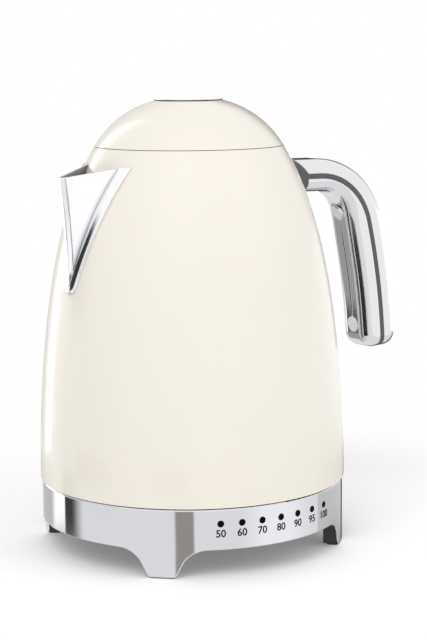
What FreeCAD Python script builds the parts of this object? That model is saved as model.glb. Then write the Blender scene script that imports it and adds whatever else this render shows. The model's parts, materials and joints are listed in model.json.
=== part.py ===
import FreeCAD, Part
import math
import os

from FreeCAD import Vector

# An electric kettle: a bell-shaped body with a beak spout and a two-shell handle, a hinged dome lid
# with a push button, and a cordless base on four feet. Units are millimetres. The origin is on the
# table under the body's axis, +Z is up, +X is the handle's side, -Y is the side with the lights.

# Clearances
fit_gap = 0.3
seat_gap = 0.1
pin_gap = 0.05
seam_gap = 0.35
cut_past = 5.0

# Base
base_r = 84.5
base_h = 37.4
ring_wall = 1.6
ring_lip = 4.0
lip_t = 1.4
lip_round = 0.7
arch_h = 15.5
arch_round = 12.0
foot_w = 15.0
foot_slope = 68.0
foot_round = 2.2
foot_depth = 7.5
foot_count = 4
pad_h = 0.8
pan_t = 2.0
pan_wall_h = 2.0
deck_t = 1.9
boss_r = 4.0
boss_inset = 34.5
screw_r = 1.6
screw_head_r = 3.2
screw_head_h = 1.8
post_r = 8.4
post_h = 10.6
connector_r = 16.0
connector_flange_r = 21.0
connector_flange_h = 1.2
contact_r = 1.9
contact_h = 2.2

# Lights and buttons of the base
light_count = 7
light_pitch = 7.9
light_r = 1.7
light_z = 29.4
light_proud = 0.15
light_bar_depth = 8.0
light_bar_h = 8.0
board_t = 1.6
board_w = 54.0
button_r = 5.0
button_z = 26.5
button_spacing = 24.0
button_proud = 1.4
button_travel = 1.2
button_flange = 1.4
switch_w = 6.0
switch_h = 3.5
switch_plunger_r = 1.5

# Cord gland under the pan
gland_r = 4.8
gland_bore_r = 3.3
gland_len = 18.0
gland_inset = 4.5
saddle_inset = 3.0

# Body
body_gap = 0.6
body_r = 85.5
neck_r = 52.1
neck_z = 222.0
body_wall = 1.0
square_share = 0.68

# Heater and bottom of the kettle
floor_lift = 16.0
plate_t = 1.2
plate_rim_h = 6.0
seal_t = 1.5
spreader_inset = 2.0
spreader_t = 3.0
element_inset = 12.0
element_r = 4.0
element_arc = 300.0
element_pin_r = 2.0
sensor_w = 16.0
sensor_h = 5.0
sensor_ring_r = 32.0
cover_t = 2.0
cover_lift = 3.3
cover_foot_inset = 4.5
cover_foot_w = 6.0
cover_wall = 1.8
bottom_screw_count = 3
bottom_screw_inset = 6.0
bottom_screw_turn = 30.0
coupler_r = 20.0
coupler_lift = 2.6
coupler_wall = 2.4
coupler_bore_gap = 0.6

# Lid
total_h = 248.0
cap_r = 18.8
cap_gap = 0.5
cap_t = 0.4
cap_plate_t = 0.9
cap_plate_inset = 0.3
cap_crown = 0.5
dome_drop = 1.4
lid_wall = 1.2
cup_wall = 1.1
cup_depth = 8.5
stem_r = 5.5
stem_foot_z = 224.0
guide_wall = 1.2
guide_h = 6.0
cap_travel = 3.0
spring_r = 9.0
spring_wire_r = 0.5
spring_turns = 3
cross_pin_r = 1.2
cross_pin_len = 19.0
cross_pin_lift = 4.5
liner_r = 45.0
liner_t = 1.4
liner_depth = 9.0
lid_seal_w = 2.0
lid_seal_h = 2.0
collar_bore_r = 47.5
collar_wall = 1.5
collar_h = 7.2
collar_flange_t = 2.0
latch_w = 17.0
latch_t = 2.5
latch_bite = 1.1
latch_cheek_t = 2.0
latch_cheek_w = 13.0
hinge_inset = 1.1
hinge_pin_r = 1.2
barrel_r = 2.5
knuckle_w = 12.0
ear_w = 5.8
hinge_notch_h = 3.2

# Spout
spout_tip_x = 82.2
spout_tip_z = 207.8
spout_rim_slope = 10.6
spout_foot_z = 145.6
spout_top_z = 215.0
spout_v_angle = 15.9
spout_v_round = 6.6
spout_ridge_proud = 1.0
spout_nose_w = 4.4
spout_nose_edge = 0.8
spout_nose_bevel = 2.0
spout_beak_lift = 4.5
spout_hole_top_z = 203.0
spout_foot_w = 4.0
spout_mouth_w = 38.8
spout_mouth_bow = 1.35
spout_wall = 1.2
spout_floor_rise = 13.0
spout_flange_h = 1.6
spout_flange_round = 1.1
spout_stations = 6
spout_reach = 8.0
spout_cavity_reach = 16.0
filter_t = 1.8
filter_rim = 3.0
filter_hole = 2.6
filter_pitch = 4.4
mesh_t = 0.5

# Level window under the handle
window_w = 9.0
window_low_z = 76.0
window_high_z = 178.0
window_proud = 0.4
window_depth = 2.4
gasket_w = 1.5
gasket_proud = 0.8

# Handle
arm_z = 203.05
arm_drop = 1.0
arm_over = 9.65
arm_under = 9.1
bend_x = 83.1
bend_r = 36.9
bend_over_r = 49.0
bend_under_r = 18.0
bend_end = 76.0
grip_r = 380.0
grip_end = 87.6
grip_past = 3.0
grip_over = 12.6
grip_under = 12.5
handle_w = 24.0
handle_round = 7.0
handle_end_round = 9.0
core_t = 3.1
root_x = 73.8
root_top_x = 66.0
groove_y = 9.3
groove_w = 2.0
groove_depth = 3.0
groove_start = 50.0
groove_stop = 86.4
fine_line_w = 0.8
fine_line_depth = 0.5
fine_line_start = 72.0
fine_line_stop = 84.6
handle_cap_r = 4.4
handle_cap_t = 1.6
handle_screw_r = 1.8
handle_screw_head_r = 3.4
handle_screw_head_h = 2.4
handle_screw_reach = 6.0
handle_screw_headings = (58.0, 85.4)
bolt_r = 2.0
bolt_head_r = 3.8
bolt_head_h = 1.6
bolt_len = 8.0
bolt_spacing = 9.0

# Places worked out from the sizes above
body_z = base_h + body_gap
floor_z = body_z + floor_lift
boss_ring_r = base_r - boss_inset
gland_end_y = base_r - gland_inset
cover_foot_r = base_r - ring_lip - cover_foot_inset
bottom_screw_ring_r = cover_foot_r - cover_foot_w - bottom_screw_inset
spreader_r = bottom_screw_ring_r - spreader_inset
element_ring_r = spreader_r - element_inset
deck_z = base_h - lip_t - seat_gap
pan_z = arch_h
pan_top_z = pan_z + pan_t
ring_in_r = base_r - ring_wall
hinge_x = neck_r - hinge_inset
lid_z = neck_z + seam_gap / 2
shell_top_z = neck_z - seam_gap / 2
cap_hole_r = cap_r + cap_gap
dome_top_z = total_h - dome_drop
spreader_z = floor_z - seat_gap - spreader_t
collar_z = shell_top_z - seam_gap
liner_z = lid_z - liner_depth
cup_floor_z = dome_top_z - cup_depth
cover_z = deck_z + fit_gap + cover_lift
coupler_z = deck_z + coupler_lift


def box(x0, x1, y0, y1, z0, z1):
    return Part.makeBox(x1 - x0, y1 - y0, z1 - z0, Vector(x0, y0, z0))


def rod(radius, start, end):
    return Part.makeCylinder(radius, (end - start).Length, start, end - start)


def disc(radius, z0, z1):
    return Part.makeCylinder(radius, z1 - z0, Vector(0, 0, z0))


def tube(r_in, r_out, z0, z1):
    return disc(r_out, z0, z1).cut(disc(r_in, z0, z1))


def polar(radius, angle, z):
    turn = math.radians(angle)
    return Vector(radius * math.cos(turn), radius * math.sin(turn), z)


def turned(points, angle=360.0, start=0.0):
    """Revolve a closed outline of (r, z) points about the Z axis."""
    corners = [Vector(r, 0, z) for r, z in points]
    face = Part.Face(Part.makePolygon(corners + corners[:1]))
    face.rotate(Vector(0, 0, 0), Vector(0, 0, 1), start)
    return face.revolve(Vector(0, 0, 0), Vector(0, 0, 1), angle)


def outline(corners, place):
    """Closed wire through (u, v, radius) corners, each rounded by a tangent arc."""
    spans = []
    for i, (u, v, radius) in enumerate(corners):
        here = Vector(u, v, 0)
        before = Vector(*corners[i - 1][:2], 0)
        after = Vector(*corners[(i + 1) % len(corners)][:2], 0)
        back = (before - here).normalize()
        on = (after - here).normalize()
        half = back.getAngle(on) / 2
        middle = (back + on).normalize()
        reach = radius / math.tan(half)
        apex = here + middle * (radius / math.sin(half) - radius)
        spans.append((here + back * reach, apex, here + on * reach, radius))
    edges = []
    for i, (arrive, apex, leave, radius) in enumerate(spans):
        if radius > 0:
            points = [place(p.x, p.y) for p in (arrive, apex, leave)]
            edges.append(Part.Arc(*points).toShape())
        nxt = spans[(i + 1) % len(spans)][0]
        if (nxt - leave).Length > 1e-6:
            edges.append(Part.makeLine(place(leave.x, leave.y), place(nxt.x, nxt.y)))
    return Part.Wire(edges)


def in_side_plane(u, v):
    return Vector(u, 0, v)


def in_front_plane(u, v):
    return Vector(0, u, v)


def fused(shapes):
    return shapes[0].multiFuse(shapes[1:]).removeSplitter()


def save(name, shape):
    shape.exportStep("parts/" + name + ".step")


# The bell: its radius falls with the square and the sixth power of the height
def bell_r(z, offset=0.0):
    height = neck_z - body_z
    t = max((z - body_z) / height, 0.0)
    drop = body_r - neck_r
    r = body_r - drop * (square_share * t**2 + (1 - square_share) * t**6)
    slope = bell_slope(z)
    return r + offset * math.sqrt(1 + slope**2)


def bell_slope(z):
    height = neck_z - body_z
    t = max((z - body_z) / height, 0.0)
    drop = body_r - neck_r
    return -drop * (2 * square_share * t + 6 * (1 - square_share) * t**5) / height


def bell_edge(offset, z0, z1):
    count = 9
    heights = [z0 + (z1 - z0) * i / (count - 1) for i in range(count)]
    curve = Part.BSplineCurve()
    curve.interpolate([Vector(bell_r(z, offset), 0, z) for z in heights])
    return curve.toShape()


def bell_shell(outer, inner, z0, z1):
    outside = bell_edge(outer, z0, z1)
    inside = bell_edge(inner, z0, z1)
    foot = Part.makeLine(Vector(bell_r(z0, inner), 0, z0), Vector(bell_r(z0, outer), 0, z0))
    top = Part.makeLine(Vector(bell_r(z1, outer), 0, z1), Vector(bell_r(z1, inner), 0, z1))
    face = Part.Face(Part.Wire([foot, outside, top, inside]))
    return face.revolve(Vector(0, 0, 0), Vector(0, 0, 1), 360)


def bell_solid(offset, z0, z1):
    outside = bell_edge(offset, z0, z1)
    foot = Part.makeLine(Vector(0, 0, z0), Vector(bell_r(z0, offset), 0, z0))
    top = Part.makeLine(Vector(bell_r(z1, offset), 0, z1), Vector(0, 0, z1))
    axis = Part.makeLine(Vector(0, 0, z1), Vector(0, 0, z0))
    face = Part.Face(Part.Wire([foot, outside, top, axis]))
    return face.revolve(Vector(0, 0, 0), Vector(0, 0, 1), 360)


# The dome carries the bell's slope on from the seam, as an arc that ends at the button's hole
def dome_circle():
    slope = bell_slope(neck_z)
    inward = Vector(-1, slope, 0).normalize()
    span = Vector(cap_hole_r - neck_r, dome_top_z - neck_z, 0)
    radius = span.Length**2 / (2 * span.dot(inward))
    return neck_r + radius * inward.x, neck_z + radius * inward.y, radius


def dome_z(r, offset=0.0):
    centre_r, centre_z, radius = dome_circle()
    return centre_z + math.sqrt((radius + offset) ** 2 - (r - centre_r) ** 2)


def dome_r(z, offset=0.0):
    centre_r, centre_z, radius = dome_circle()
    return centre_r + math.sqrt((radius + offset) ** 2 - (z - centre_z) ** 2)


def dome_arc(offset, r_low, r_high):
    radii = (r_low, (r_low + r_high) / 2, r_high)
    return Part.Arc(*[Vector(r, 0, dome_z(r, offset)) for r in radii]).toShape()


# Base
def foot_angles():
    return [(i + 0.5) * 360 / foot_count for i in range(foot_count)]


def arch_cutter():
    """Prism that opens the ring between two feet, seen square on along +X."""
    foot_half = math.degrees(math.asin(foot_w / 2 / base_r))
    half = base_r * math.sin(math.radians(180 / foot_count - foot_half))
    run = (arch_h - pad_h) / math.tan(math.radians(foot_slope))
    corners = [
        (-half - foot_round, pad_h, 0),
        (-half, pad_h, foot_round),
        (-half + run, arch_h, arch_round),
        (half - run, arch_h, arch_round),
        (half, pad_h, foot_round),
        (half + foot_round, pad_h, 0),
        (half + foot_round, 0, 0),
        (-half - foot_round, 0, 0),
    ]
    prism = Part.Face(outline(corners, in_front_plane)).extrude(Vector(base_r, 0, 0))
    prism.translate(Vector(base_r / 2, 0, 0))
    return prism


def arches(ring):
    for i in range(foot_count):
        cutter = arch_cutter()
        cutter.rotate(Vector(0, 0, 0), Vector(0, 0, 1), i * 360 / foot_count)
        ring = ring.cut(cutter)
    return ring


def light_angles():
    middle = (light_count - 1) / 2
    return [-90 + (i - middle) * light_pitch for i in range(light_count)]


def light_rods(radius, r0, r1):
    return [rod(radius, polar(r0, a, light_z), polar(r1, a, light_z)) for a in light_angles()]


def button_ys():
    return (-button_spacing / 2, button_spacing / 2)


def button_face_x():
    return math.sqrt(base_r**2 - (button_spacing / 2) ** 2)


def button_back_x():
    """Where the ring's inner wall is nearest the axis over a button's flange."""
    reach = button_spacing / 2 + button_r + button_flange
    return math.sqrt(ring_in_r**2 - reach**2)


def base_ring():
    section = [
        (ring_in_r, pad_h),
        (base_r, pad_h),
        (base_r, base_h),
        (base_r - ring_lip, base_h),
        (base_r - ring_lip, base_h - lip_t),
        (ring_in_r, base_h - lip_t),
    ]
    ring = turned(section)
    rim = [e for e in ring.Edges if near_circle(e, base_r, base_h)]
    ring = ring.makeFillet(lip_round, rim)
    ring = arches(ring)
    ring = ring.cut(Part.makeCompound(light_rods(light_r + pin_gap, ring_in_r - cut_past, base_r + cut_past)))
    for y in button_ys():
        start = Vector(base_r / 2, y, button_z)
        ring = ring.cut(rod(button_r + fit_gap, start, Vector(base_r + cut_past, y, button_z)))
    return ring


def near_circle(edge, radius, z):
    curve = edge.Curve
    if not isinstance(curve, Part.Circle):
        return False
    return abs(curve.Radius - radius) < 1e-3 and abs(curve.Center.z - z) < 1e-3


def base_tray():
    tray_r = ring_in_r - seat_gap
    tray = disc(tray_r, deck_z - deck_t, deck_z)
    tray = tray.cut(disc(connector_r + seat_gap, deck_z - deck_t, deck_z))
    bosses = []
    for angle in foot_angles():
        low = polar(boss_ring_r, angle, pan_top_z + seat_gap)
        bosses.append(rod(boss_r, low, polar(boss_ring_r, angle, deck_z - deck_t / 2)))
    tray = fused([tray] + bosses)
    for angle in foot_angles():
        low = polar(boss_ring_r, angle, pan_z)
        tray = tray.cut(rod(screw_r + pin_gap, low, polar(boss_ring_r, angle, deck_z - 2 * deck_t)))
    return tray


def base_pan():
    pan_r = ring_in_r - seat_gap
    section = [
        (0, pan_z),
        (pan_r, pan_z),
        (pan_r, pan_top_z + pan_wall_h),
        (pan_r - pan_t, pan_top_z + pan_wall_h),
        (pan_r - pan_t, pan_top_z),
        (0, pan_top_z),
    ]
    pan = turned(section)
    half = foot_w / 2 - foot_round / 2
    feet = []
    for angle in foot_angles():
        foot = box(pan_r - foot_depth, pan_r, -half, half, pad_h, pan_top_z)
        foot.rotate(Vector(0, 0, 0), Vector(0, 0, 1), angle)
        feet.append(foot.common(disc(pan_r, 0, pan_top_z)))
    pan = fused([pan] + feet)
    for angle in foot_angles():
        hole = rod(screw_r + pin_gap, polar(boss_ring_r, angle, 0), polar(boss_ring_r, angle, base_h))
        pan = pan.cut(hole)
    return pan


def foot_pads():
    half = math.degrees(math.asin((foot_w / 2 - foot_round / 2) / base_r))
    r_in = ring_in_r - foot_depth + foot_round
    section = [(r_in, 0), (base_r - foot_round / 2, 0), (base_r - foot_round / 2, pad_h), (r_in, pad_h)]
    return [turned(section, 2 * half, angle - half) for angle in foot_angles()]


def base_connector():
    section = [
        (contact_r + seat_gap, deck_z - 4 * deck_t),
        (connector_r, deck_z - 4 * deck_t),
        (connector_r, deck_z + seat_gap),
        (connector_flange_r, deck_z + seat_gap),
        (connector_flange_r, deck_z + seat_gap + connector_flange_h),
        (connector_r, deck_z + seat_gap + 2 * connector_flange_h),
        (post_r, deck_z + seat_gap + 2 * connector_flange_h),
        (post_r, deck_z + post_h),
        (contact_r + seat_gap, deck_z + post_h),
    ]
    return turned(section)


def contact_pin():
    top = deck_z + post_h + contact_h
    pin = disc(contact_r, deck_z - 4 * deck_t, top)
    return pin.makeFillet(contact_r / 2, [e for e in pin.Edges if near_circle(e, contact_r, top)])


def light_bar():
    bar_out = ring_in_r - seat_gap
    bar_in = bar_out - light_bar_depth
    half = (light_count + 1) / 2 * light_pitch
    low = light_z - light_bar_h / 2
    section = [(bar_in, low), (bar_out, low), (bar_out, low + light_bar_h), (bar_in, low + light_bar_h)]
    bar = turned(section, 2 * half, -90 - half)
    return bar.cut(Part.makeCompound(light_rods(light_r + pin_gap, bar_in - cut_past, bar_out + cut_past)))


def temperature_lights():
    return light_rods(light_r, ring_in_r - seat_gap - light_bar_depth, base_r + light_proud)


def control_board():
    """Upright board whose face meets the ends of the light bar."""
    half = (light_count + 1) / 2 * light_pitch
    front = -(ring_in_r - seat_gap - light_bar_depth) * math.cos(math.radians(half)) + seat_gap
    low_z = pan_top_z + seat_gap
    high_z = deck_z - deck_t - seat_gap
    return box(-board_w / 2, board_w / 2, front, front + board_t, low_z, high_z)


def button_stem_x():
    return button_back_x() - 2 * fit_gap - button_flange - button_travel


def push_button(y):
    face = button_face_x() + button_proud
    flange = button_back_x() - fit_gap
    knob = rod(button_r, Vector(button_stem_x(), y, button_z), Vector(face, y, button_z))
    knob = knob.makeFillet(button_proud / 2, [e for e in knob.Edges if at_x(e, face)])
    collar = rod(
        button_r + button_flange,
        Vector(flange - button_flange, y, button_z),
        Vector(flange, y, button_z),
    )
    return fused([knob, collar])


def at_x(edge, x):
    return abs(edge.BoundBox.XMin - x) < 1e-6 and abs(edge.BoundBox.XMax - x) < 1e-6


def switch_board():
    tip = button_stem_x() - button_travel - fit_gap
    face = tip - button_travel - switch_h
    half = button_spacing / 2 + switch_w
    pieces = [box(face - board_t, face, -half, half, pan_top_z + seat_gap, deck_z - deck_t - seat_gap)]
    for y in button_ys():
        low_z = button_z - switch_w / 2
        pieces.append(box(face, face + switch_h, y - switch_w / 2, y + switch_w / 2, low_z, low_z + switch_w))
        pieces.append(rod(switch_plunger_r, Vector(face, y, button_z), Vector(tip, y, button_z)))
    return fused(pieces)


def cord_gland():
    centre_z = pan_z - seat_gap - gland_r
    inner = Vector(0, gland_end_y - gland_len, centre_z)
    outer = Vector(0, gland_end_y, centre_z)
    body = rod(gland_r, inner, outer)
    low_y = inner.y + saddle_inset
    high_y = outer.y - saddle_inset
    saddle = box(-gland_r, gland_r, low_y, high_y, centre_z, pan_z - seat_gap)
    return fused([body, saddle]).cut(rod(gland_bore_r, inner, outer))


def base_screws():
    screws = []
    for angle in foot_angles():
        head = polar(boss_ring_r, angle, pan_z - screw_head_h)
        seat = polar(boss_ring_r, angle, pan_z)
        shank = rod(screw_r, seat, polar(boss_ring_r, angle, deck_z - 3 * deck_t))
        screws.append(fused([rod(screw_head_r, head, seat), shank]))
    return screws


# Bottom of the kettle
def kettle_coupler():
    bore_r = post_r + coupler_bore_gap
    top = spreader_z - seat_gap
    recess = deck_z + seat_gap + 2 * connector_flange_h + fit_gap + coupler_bore_gap
    section = [
        (coupler_r - coupler_wall, coupler_z),
        (coupler_r, coupler_z),
        (coupler_r, top),
        (0, top),
        (0, deck_z + post_h + contact_h + coupler_bore_gap),
        (bore_r, deck_z + post_h + contact_h + coupler_bore_gap),
        (bore_r, recess),
        (coupler_r - coupler_wall, recess),
    ]
    return turned(section)


def heater_plate():
    rim_r = bell_r(floor_z + plate_rim_h, -body_wall) - seat_gap - seal_t
    section = [
        (0, floor_z),
        (rim_r, floor_z),
        (rim_r, floor_z + plate_rim_h),
        (rim_r - plate_t, floor_z + plate_rim_h),
        (rim_r - plate_t, floor_z + plate_t),
        (0, floor_z + plate_t),
    ]
    return turned(section)


def heater_seal():
    rim_r = bell_r(floor_z + plate_rim_h, -body_wall) - seal_t
    seal = disc(body_r, floor_z, floor_z + plate_rim_h)
    seal = seal.common(bell_solid(-body_wall - seat_gap, body_z, shell_top_z))
    return seal.cut(disc(rim_r, floor_z, floor_z + plate_rim_h))


def heat_spreader():
    return disc(spreader_r, spreader_z, floor_z - seat_gap)


def heating_element():
    centre_z = spreader_z - seat_gap - element_r
    start = Vector(element_ring_r, 0, centre_z)
    circle = Part.Face(Part.Wire(Part.makeCircle(element_r, start, Vector(0, 1, 0))))
    ring = circle.revolve(Vector(0, 0, 0), Vector(0, 0, 1), element_arc)
    pins = []
    pin_inset = math.degrees(element_r / element_ring_r)
    for angle in (pin_inset, element_arc - pin_inset):
        top = polar(element_ring_r, angle, centre_z)
        foot = polar(element_ring_r, angle, cover_z + cover_t + seat_gap)
        pins.append(rod(element_pin_r, top, foot))
    element = fused([ring] + pins)
    element.rotate(Vector(0, 0, 0), Vector(0, 0, 1), (360 - element_arc) / 2)
    return element


def temperature_sensor():
    top = spreader_z - seat_gap
    half = sensor_w / 2
    return box(-half, half, sensor_ring_r - half, sensor_ring_r + half, top - sensor_h, top)


def bottom_cover():
    out_r = bell_r(body_z, -body_wall) - seat_gap
    wall_top = floor_z - seat_gap
    top_r = bell_r(wall_top, -body_wall) - seat_gap
    section = [
        (coupler_r + fit_gap, cover_z),
        (cover_foot_r - cover_foot_w, cover_z),
        (cover_foot_r - cover_foot_w, deck_z + fit_gap),
        (cover_foot_r, deck_z + fit_gap),
        (cover_foot_r, cover_z),
        (out_r, cover_z),
        (top_r, wall_top),
        (top_r - cover_wall, wall_top),
        (top_r - cover_wall, cover_z + cover_t),
        (coupler_r + fit_gap, cover_z + cover_t),
    ]
    cover = turned(section)
    for angle in bottom_screw_angles():
        low = polar(bottom_screw_ring_r, angle, cover_z)
        cover = cover.cut(rod(screw_r + pin_gap, low, low + Vector(0, 0, cover_t)))
    return cover


def bottom_screw_angles():
    return [bottom_screw_turn + i * 360 / bottom_screw_count for i in range(bottom_screw_count)]


def bottom_screws():
    """Screws from below through the cover up to the heater plate."""
    screws = []
    for angle in bottom_screw_angles():
        seat = polar(bottom_screw_ring_r, angle, cover_z)
        shank = rod(screw_r, seat, polar(bottom_screw_ring_r, angle, floor_z - seat_gap))
        head = rod(screw_head_r, seat - Vector(0, 0, screw_head_h), seat)
        screws.append(fused([head, shank]))
    return screws


# Spout
def spout_ridge(t):
    foot = bell_r(spout_foot_z) + spout_ridge_proud
    rise = (spout_tip_z - spout_foot_z) / (spout_top_z - spout_foot_z)
    return foot + (spout_tip_x - foot) * (t / rise) ** 2


def spout_section(t, inset, reach):
    """Beak outline at a share t of its height: a narrow bevelled nose and two straight cheeks."""
    z = spout_foot_z + (spout_top_z - spout_foot_z) * t
    foot = (spout_foot_w + (spout_mouth_w - spout_foot_w) * t**spout_mouth_bow) / 2
    facet = min(spout_nose_w / 2, foot - spout_nose_edge)
    nose = Vector(-spout_ridge(t), -facet, 0)
    root = Vector(-math.sqrt(bell_r(z) ** 2 - foot**2), -foot, 0)
    along = (root - nose).normalize()
    inward = Vector(-along.y, along.x, 0)
    if inward.y < 0:
        inward = inward * -1
    nose = nose + inward * inset + along * inset
    tail = root + inward * inset + along * reach
    cheek = nose + along * spout_nose_bevel
    near = [(nose.x, nose.y / 2), (cheek.x, cheek.y), (tail.x, tail.y)]
    far = [(x, -y) for x, y in reversed(near)]
    points = [Vector(x, y, z) for x, y in near + far]
    return Part.makePolygon(points + points[:1])


def spout_loft(inset, reach, low):
    shares = [low + (1 - low) * i / (spout_stations - 1) for i in range(spout_stations)]
    return Part.makeLoft([spout_section(t, inset, reach) for t in shares], True, False)


def spout_cavity():
    low = spout_floor_rise / (spout_top_z - spout_foot_z)
    return spout_loft(spout_wall, spout_cavity_reach, low)


def spout_prism(inset):
    """V-shaped outline of the flange, drawn square on and pushed through the wall."""
    angle = math.radians(spout_v_angle)
    apex = spout_foot_z - spout_v_round * (1 / math.sin(angle) - 1)
    half = (spout_top_z - apex) * math.tan(angle) - inset / math.cos(angle)
    low = apex + inset / math.sin(angle)
    corners = [
        (-half, spout_top_z, 0),
        (0, low, max(spout_v_round - inset, 0.5)),
        (half, spout_top_z, 0),
    ]
    prism = Part.Face(outline(corners, in_front_plane)).extrude(Vector(-body_r, 0, 0))
    prism.translate(Vector(-neck_r / 2, 0, 0))
    return prism


def spout_rim_cut():
    slab = box(-body_r / 4, body_r, -body_r, body_r, 0, body_r / 2)
    slab.rotate(Vector(0, 0, 0), Vector(0, 1, 0), -spout_rim_slope)
    slab.translate(Vector(-spout_tip_x, 0, spout_tip_z))
    return slab


def spout():
    flange = bell_shell(spout_flange_h, 0, spout_foot_z - cut_past, neck_z).common(spout_prism(0))
    top_edges = [e for e in flange.Edges if on_flange_rim(e)]
    flange = flange.makeFillet(spout_flange_round, top_edges)
    beak = spout_loft(0, spout_reach, spout_beak_lift / (spout_top_z - spout_foot_z))
    whole = flange.fuse(beak).cut(bell_solid(seat_gap, spout_foot_z - 2 * cut_past, neck_z + cut_past))
    whole = whole.cut(spout_cavity()).cut(spout_rim_cut())
    return max(whole.Solids, key=lambda s: s.Volume)


def on_flange_rim(edge):
    """Edges where the flange's front face meets its V-shaped side."""
    first, last = edge.ParameterRange
    for share in (0.2, 0.5, 0.8):
        p = edge.valueAt(first + (last - first) * share)
        if abs(math.hypot(p.x, p.y) - bell_r(p.z, spout_flange_h)) > 0.05:
            return False
        if p.z > spout_top_z - 0.01:
            return False
    return True


def spout_filter():
    frame = bell_shell(-body_wall - seat_gap, -body_wall - filter_t, spout_foot_z, neck_z)
    mesh_out = -body_wall - filter_t / 2
    mesh = bell_shell(mesh_out, mesh_out - mesh_t, spout_foot_z, neck_z)
    low = box(-body_r, 0, -body_r, body_r, spout_foot_z, collar_z - collar_h - fit_gap)
    frame = frame.common(spout_prism(0)).cut(spout_prism(filter_rim)).common(low)
    rim_low = low.copy()
    rim_low.translate(Vector(0, 0, -filter_rim))
    bar = bell_shell(-body_wall - seat_gap, -body_wall - filter_t, spout_foot_z, neck_z)
    bar = bar.common(spout_prism(filter_rim / 2)).common(low).cut(rim_low)
    mesh = mesh.common(spout_prism(filter_rim / 2)).common(low)
    mesh = mesh.cut(Part.makeCompound(filter_holes()))
    return fused([frame, bar, mesh])


def filter_holes():
    holes = []
    angle = math.tan(math.radians(spout_v_angle))
    apex = spout_foot_z - spout_v_round * (1 / math.sin(math.radians(spout_v_angle)) - 1)
    top = collar_z - collar_h - fit_gap - filter_rim - filter_hole
    rows = int((top - spout_foot_z - 2 * filter_rim) / filter_pitch)
    for row in range(rows):
        z = top - row * filter_pitch
        half = (z - filter_hole - apex) * angle - filter_rim - filter_hole
        for column in range(-int(half / filter_pitch), int(half / filter_pitch) + 1):
            y = column * filter_pitch - filter_hole / 2
            holes.append(box(-body_r, -neck_r / 2, y, y + filter_hole, z, z + filter_hole))
    return holes


# Level window
def window_slot(grow):
    half = window_w / 2 + grow
    corners = [
        (-half, window_low_z - grow, half),
        (half, window_low_z - grow, half),
        (half, window_high_z + grow, half),
        (-half, window_high_z + grow, half),
    ]
    slot = Part.Face(outline(corners, in_front_plane)).extrude(Vector(body_r, 0, 0))
    slot.translate(Vector(neck_r / 2, 0, 0))
    return slot


def water_window():
    lens = bell_shell(window_proud, -body_wall - window_depth, body_z, neck_z)
    return lens.common(window_slot(0))


def window_gasket():
    rim = bell_shell(gasket_proud, -body_wall - gasket_proud, body_z, neck_z)
    return rim.common(window_slot(gasket_w)).cut(window_slot(seat_gap))


# Body shell
def hinge_notch(grow, z0, z1):
    half = knuckle_w / 2 + ear_w + 2 * fit_gap + grow
    return box(hinge_x - 2 * barrel_r, hinge_x + 3 * barrel_r, -half, half, z0, z1)


def body_shell():
    shell = bell_shell(0, -body_wall, body_z, shell_top_z)
    hole = spout_cavity().common(box(-2 * body_r, 0, -body_r, body_r, spout_foot_z, spout_hole_top_z))
    shell = shell.cut(hole)
    shell = shell.cut(window_slot(gasket_w + seat_gap))
    shell = shell.cut(hinge_notch(0, neck_z - hinge_notch_h, neck_z + cut_past))
    for start, along in handle_bolt_axes():
        shell = shell.cut(rod(bolt_r + pin_gap, start, start + along * 2 * bolt_head_h))
    return shell


# Neck collar with the hinge ears
def neck_collar():
    low = collar_z - collar_h
    flange_low = collar_z - collar_flange_t
    wall_r = collar_bore_r + collar_wall
    section = [
        (collar_bore_r, low),
        (wall_r, low),
        (wall_r, flange_low),
        (bell_r(flange_low, -body_wall - seat_gap), flange_low),
        (bell_r(collar_z, -body_wall - seat_gap), collar_z),
        (collar_bore_r, collar_z),
    ]
    collar = turned(section)
    ears = []
    ear_in = knuckle_w / 2 + fit_gap
    for y in (ear_in, -ear_in - ear_w):
        ears.append(box(collar_bore_r + fit_gap, hinge_x, y, y + ear_w, flange_low, neck_z))
        ears.append(rod(barrel_r, Vector(hinge_x, y, neck_z), Vector(hinge_x, y + ear_w, neck_z)))
    collar = fused([collar] + ears)
    clear_r = barrel_r + 2 * fit_gap
    knuckle_room = box(hinge_x - clear_r, hinge_x + clear_r, -ear_in, ear_in, neck_z - clear_r, neck_z)
    collar = collar.cut(knuckle_room)
    collar = collar.cut(hinge_bore(ear_in + ear_w))
    notch = latch_w / 2 + 2 * fit_gap
    nose = latch_nose_x() - 2 * fit_gap
    return collar.cut(box(nose, -collar_bore_r / 2, -notch, notch, latch_z() - 2 * fit_gap, neck_z))


def hinge_bore(half):
    hole = hinge_pin_r + pin_gap
    return rod(hole, Vector(hinge_x, -half - cut_past, neck_z), Vector(hinge_x, half + cut_past, neck_z))


def hinge_pin():
    half = knuckle_w / 2 + fit_gap + ear_w
    return rod(hinge_pin_r, Vector(hinge_x, -half, neck_z), Vector(hinge_x, half, neck_z))


# Lid
def lid_dome():
    low_out = dome_r(lid_z)
    low_in = dome_r(lid_z, -lid_wall)
    outside = dome_arc(0, low_out, cap_hole_r)
    inside = dome_arc(-lid_wall, cap_hole_r, low_in)
    hole = Part.makeLine(
        Vector(cap_hole_r, 0, dome_z(cap_hole_r)), Vector(cap_hole_r, 0, dome_z(cap_hole_r, -lid_wall))
    )
    foot = Part.makeLine(Vector(low_in, 0, lid_z), Vector(low_out, 0, lid_z))
    face = Part.Face(Part.Wire([outside, hole, inside, foot]))
    dome = face.revolve(Vector(0, 0, 0), Vector(0, 0, 1), 360)
    return dome.cut(hinge_notch(0, neck_z, neck_z + barrel_r + 2 * fit_gap))


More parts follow.
